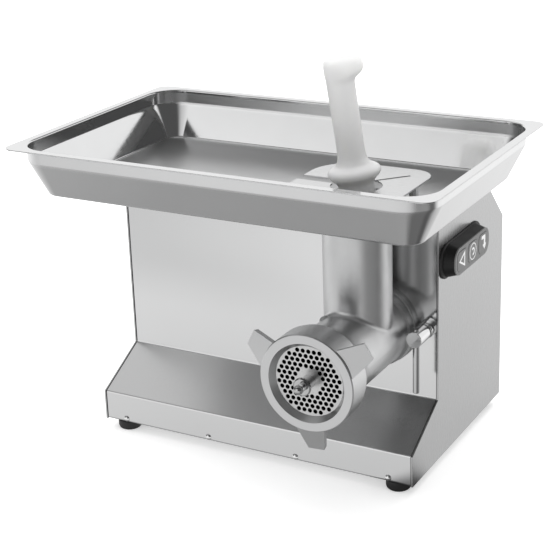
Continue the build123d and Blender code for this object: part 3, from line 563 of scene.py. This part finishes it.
def make_tray():
    """The pressed tray: flat rim, upright band, a small step, tapered walls and a flat floor."""
    low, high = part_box("tray")
    middle_x, middle_y = (low.x + high.x) / 2, (low.y + high.y) / 2
    half_x, half_y = (high.x - low.x) / 2, (high.y - low.y) / 2
    sheet = 1.5 * MM
    floor_z, rim_z = low.z + sheet, high.z
    rim, step_low, step_high, wall_foot = 11 * MM, 352 * MM, 356 * MM, 30 * MM
    edge, fold = 2.0 * MM, 3.0 * MM
    rim_corner, wall_corner = 14 * MM, 35 * MM
    slope = math.degrees(math.atan2(step_low - floor_z, wall_foot - rim - 2 * MM))
    profile = [(0.0, rim_z - 0.3 * MM), (0.1 * MM, rim_z - 0.1 * MM), (0.3 * MM, rim_z)]
    profile += bend((rim - edge, rim_z - edge), edge, 90, 0, 5)
    profile += [(rim, step_high + 1.0 * MM), (rim + 0.25 * MM, step_high)]
    profile += [(rim + 1.0 * MM, (step_high + step_low) / 2), (rim + 1.8 * MM, step_low + 0.5 * MM)]
    reach = fold * math.tan(math.radians(slope / 2))
    profile += [(rim + 2.2 * MM, step_low - 0.5 * MM)]
    profile += bend((wall_foot + reach, floor_z + fold), fold, 180 + 90 - slope, 270, 5)
    bm = bmesh.new()
    rings = []
    for inset, z in profile:
        if inset <= 0.4 * MM:
            radius = rim_corner - inset
        elif z > step_low - 1 * MM:
            radius = wall_corner - (inset - rim)
        else:
            radius = wall_corner - 0.9 * (inset - rim)
        rings.append(rounded_ring(bm, half_x - inset, half_y - inset, radius, z, middle_x, middle_y))
    for first, second in zip(rings, rings[1:]):
        join_rings(bm, first, second)
    bm.verts.ensure_lookup_table()
    hole = []
    count = 64
    for i in range(count):
        a = 2 * math.pi * i / count
        place = (HEAD_X + NECK_HOLE * math.cos(a), NECK_Y + NECK_HOLE * math.sin(a), floor_z)
        hole.append(bm.verts.new(place))
    floor_edges = [bm.edges.new((hole[i], hole[(i + 1) % count])) for i in range(count)]
    last = rings[-1]
    floor_edges += [bm.edges.get((last[i], last[(i + 1) % len(last)])) for i in range(len(last))]
    bmesh.ops.triangle_fill(bm, edges=floor_edges, use_beauty=True, normal=(0, 0, 1))
    mesh = smooth_mesh(bm, "pressed_tray")
    up = max(mesh.polygons, key=lambda face: face.area)
    if up.normal.z < 0:
        mesh.flip_normals()
    piece = new_piece("pressed_tray", mesh, "tray_sheet", "tray", "polished_steel", "tray")
    shell = piece.modifiers.new("sheet", "SOLIDIFY")
    shell.thickness = sheet
    shell.offset = -1.0
    shell.use_even_offset = True
    shell.use_quality_normals = True
    weighted(piece)


def make_pusher():
    """The moulded pusher: a foot in the mouth, a round collar, an oval shaft and a lipped grip."""
    across = Vector((math.cos(PUSHER_TILT), 0, math.sin(PUSHER_TILT)))
    along = Vector((-math.sin(PUSHER_TILT), 0, math.cos(PUSHER_TILT)))
    start = Vector((HEAD_X, NECK_Y, GUARD_TOP))
    # height along the shaft, shift to the right, half width, half depth, squareness
    rings = [
        (-41.8, 0, 12, 12, 2), (-41.8, 0, 16.4, 16.4, 2), (-40, 0, 18.2, 18.2, 2),
        (-36, 0, 18.4, 18.4, 2), (-8, 0, 18.4, 18.4, 2), (0, 0, 18.6, 18.6, 2), (4, 0, 19.4, 19.4, 2),
        (7, 0, 22.6, 22.6, 2), (10.5, 0, 26.6, 26.6, 2), (14, 0, 28.3, 28.3, 2),
        (17.5, 0, 27.6, 27.6, 2), (20.5, 0, 24.4, 24.4, 2), (22.0, 0, 20.6, 20.6, 2),
        (23.4, 0, 18.0, 18.0, 2), (27, 0, 15.8, 15.8, 2), (33, 0, 14.6, 14.6, 2), (46, 0, 14.2, 14.2, 2),
        (80, 0, 14.6, 14.4, 2), (104, 0, 14.7, 14.5, 2), (108, 0, 14.8, 14.6, 2),
        (111, 0.6, 15.2, 14.8, 2), (113.5, 2.0, 16.8, 15.1, 2.1), (116, 3.8, 18.8, 15.5, 2.2),
        (118.5, 5.2, 20.2, 16.0, 2.3), (122, 5.8, 20.8, 16.2, 2.3), (127, 5.9, 20.9, 16.2, 2.3),
        (130.5, 5.5, 20.2, 15.6, 2.3), (132.6, 4.6, 17.8, 14.0, 2.3), (133.4, 3.8, 12.5, 10.0, 2.2),
        (133.5, 3.3, 6.0, 5.0, 2)]
    bm = bmesh.new()
    loops = []
    count = 40
    for height, shift, half_width, half_depth, square in rings:
        loop = []
        for i in range(count):
            a = 2 * math.pi * i / count
            c, s = math.cos(a), math.sin(a)
            u = math.copysign(abs(c) ** (2 / square), c) * half_width + shift
            v = math.copysign(abs(s) ** (2 / square), s) * half_depth
            place = start + across * (u * MM) + Vector((0, v * MM, 0)) + along * (height * MM)
            loop.append(bm.verts.new(place))
        loops.append(loop)
    for first, second in zip(loops, loops[1:]):
        join_rings(bm, first, second)
    for loop in (loops[0], loops[-1]):
        bm.faces.new(loop)
    piece = new_piece("moulded_pusher", smooth_mesh(bm, "moulded_pusher"), "polyethylene", "pusher",
                      "white_polyethylene", "pusher")
    smoothing = piece.modifiers.new("smooth", "SUBSURF")
    smoothing.levels = smoothing.render_levels = 1


def lathe(bm, centre, profile, count=48):
    """Rings of a smooth turned shape about the Y axis, from (radius, y) in millimetres."""
    rings = []
    for radius, y in profile:
        turns = [2 * math.pi * i / count for i in range(count)]
        rings.append([bm.verts.new((centre[0] + radius * MM * math.cos(a), y * MM,
                                    centre[1] + radius * MM * math.sin(a))) for a in turns])
    for first, second in zip(rings, rings[1:]):
        join_rings(bm, first, second)
    bm.faces.new(rings[0])
    bm.faces.new(rings[-1])


def make_clamp():
    """The clamp's knob, a plain drum on a stem, and the cross bar through it."""
    low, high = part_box("clamp_knob")
    centre = ((low.x + high.x) / 2, (low.z + high.z) / 2)
    bm = bmesh.new()
    lathe(bm, centre, [(8.4, -36.0), (8.8, -35.9), (9.1, -35.5), (9.1, -12.5), (8.8, -12.1), (6.0, -12.0),
                       (6.0, 23.8)])
    piece = new_piece("knob", smooth_mesh(bm, "knob"), "chrome", "clamp", "chrome", "clamp_knob")
    weighted(piece)
    low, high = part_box("clamp_lever")
    middle_x, middle_y = (low.x + high.x) / 2, (low.y + high.y) / 2
    bm = bmesh.new()
    rings = []
    turns = [2 * math.pi * i / 32 for i in range(32)]
    for radius, z in ((2.6, low.z), (3.3, low.z + 0.25 * MM), (3.7, low.z + 0.9 * MM),
                      (3.7, high.z - 0.9 * MM), (3.3, high.z - 0.25 * MM), (2.6, high.z)):
        rings.append([bm.verts.new((middle_x + radius * MM * math.cos(a),
                                    middle_y + radius * MM * math.sin(a), z)) for a in turns])
    for first, second in zip(rings, rings[1:]):
        join_rings(bm, first, second)
    bm.faces.new(rings[0])
    bm.faces.new(rings[-1])
    piece = new_piece("cross_bar", smooth_mesh(bm, "cross_bar"), "stud_steel", "clamp", "chrome",
                      "clamp_lever")
    weighted(piece)


def make_screws():
    """The four domed screws along the plinth."""
    low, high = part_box("lip_screws")
    count, steps = 4, 7
    cad_radius, dome_height = 3.3 * MM, 2.4 * MM
    head_radius, shank = 3.9 * MM, 1.9
    first, last = low.x + cad_radius, high.x - cad_radius
    middle_z = (low.z + high.z) / 2
    face_y = low.y + dome_height
    ball = (head_radius * head_radius + dome_height * dome_height) / (2 * dome_height)
    profile = [(shank, high.y / MM), (shank, face_y / MM), (head_radius / MM, face_y / MM)]
    for step in range(1, steps):
        out = head_radius * (1 - step / steps)
        profile.append((out / MM, (low.y + ball - math.sqrt(ball * ball - out * out)) / MM))
    bm = bmesh.new()
    for i in range(count):
        lathe(bm, (first + (last - first) * i / (count - 1), middle_z), profile, 24)
    new_piece("domed_screws", smooth_mesh(bm, "domed_screws"), "chrome", "housing", "chrome", "lip_screws")


def icon_plate(name, body, outlines, node):
    """Printed marks on a button: closed outlines in millimetres about its middle, a thin coat of paint."""
    low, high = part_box(node)
    centre = (low + high) / 2
    bm = bmesh.new()

    def outline(points, off):
        """The points of an outline, this far off the button's face."""
        return [bm.verts.new((high.x + off * MM, centre.y + u * MM, centre.z + v * MM)) for u, v in points]

    for outer, inner in outlines:
        front, back = outline(outer, 0.08), outline(outer, -0.02)
        if inner:
            front_in, back_in = outline(inner, 0.08), outline(inner, -0.02)
            for one, two in ((front, front_in), (front_in, back_in), (back_in, back), (back, front)):
                join_rings(bm, one, two)
        else:
            bm.faces.new(front)
            bm.faces.new(list(reversed(back)))
            join_rings(bm, front, back)
    bmesh.ops.recalc_face_normals(bm, faces=bm.faces)
    mesh = bpy.data.meshes.new(name)
    bm.to_mesh(mesh)
    bm.free()
    new_piece(name, mesh, "white_print", body, "grey_plastic")


def arc(radius, start, end, steps, middle_u=0.0, middle_v=0.0):
    """Points along an arc, angles in degrees."""
    turns = [math.radians(start + (end - start) * i / steps) for i in range(steps + 1)]
    return [(middle_u + radius * math.cos(a), middle_v + radius * math.sin(a)) for a in turns]


def make_icons():
    """Plain marks: a hollow triangle to run, a ring round a hook to stop, a bent arrow to reverse."""
    icon_plate("mark_run", "button_forward",
               [([(7.5, 9.0), (-9.5, 0.0), (7.5, -9.0)], [(5.2, 5.3), (-5.0, 0.0), (5.2, -5.3)])],
               "button_forward")
    hook = arc(4.6, 140, -110, 18) + arc(2.4, -110, 140, 14)
    icon_plate("mark_stop", "button_stop", [(arc(9.6, 0, 345, 23), arc(8.5, 0, 345, 23)), (hook, None)],
               "button_stop")
    icon_plate("mark_reverse", "button_reverse",
               [([(-5.5, 8.5), (5.5, 8.5), (5.5, -2.0), (8.5, -2.0), (3.3, -8.5), (-2.0, -2.0), (1.2, -2.0),
                  (1.2, 4.6), (-5.5, 4.6)], None)], "button_reverse")


make_camera()
make_floor()
make_light()
set_exposure()
finish_nodes()
for node, finish, body, slot, width, segments in ROUNDED:
    rounded_copy(node, finish, body, slot, width * MM, segments)
make_tray()
make_pusher()
make_clamp()
make_screws()
make_icons()
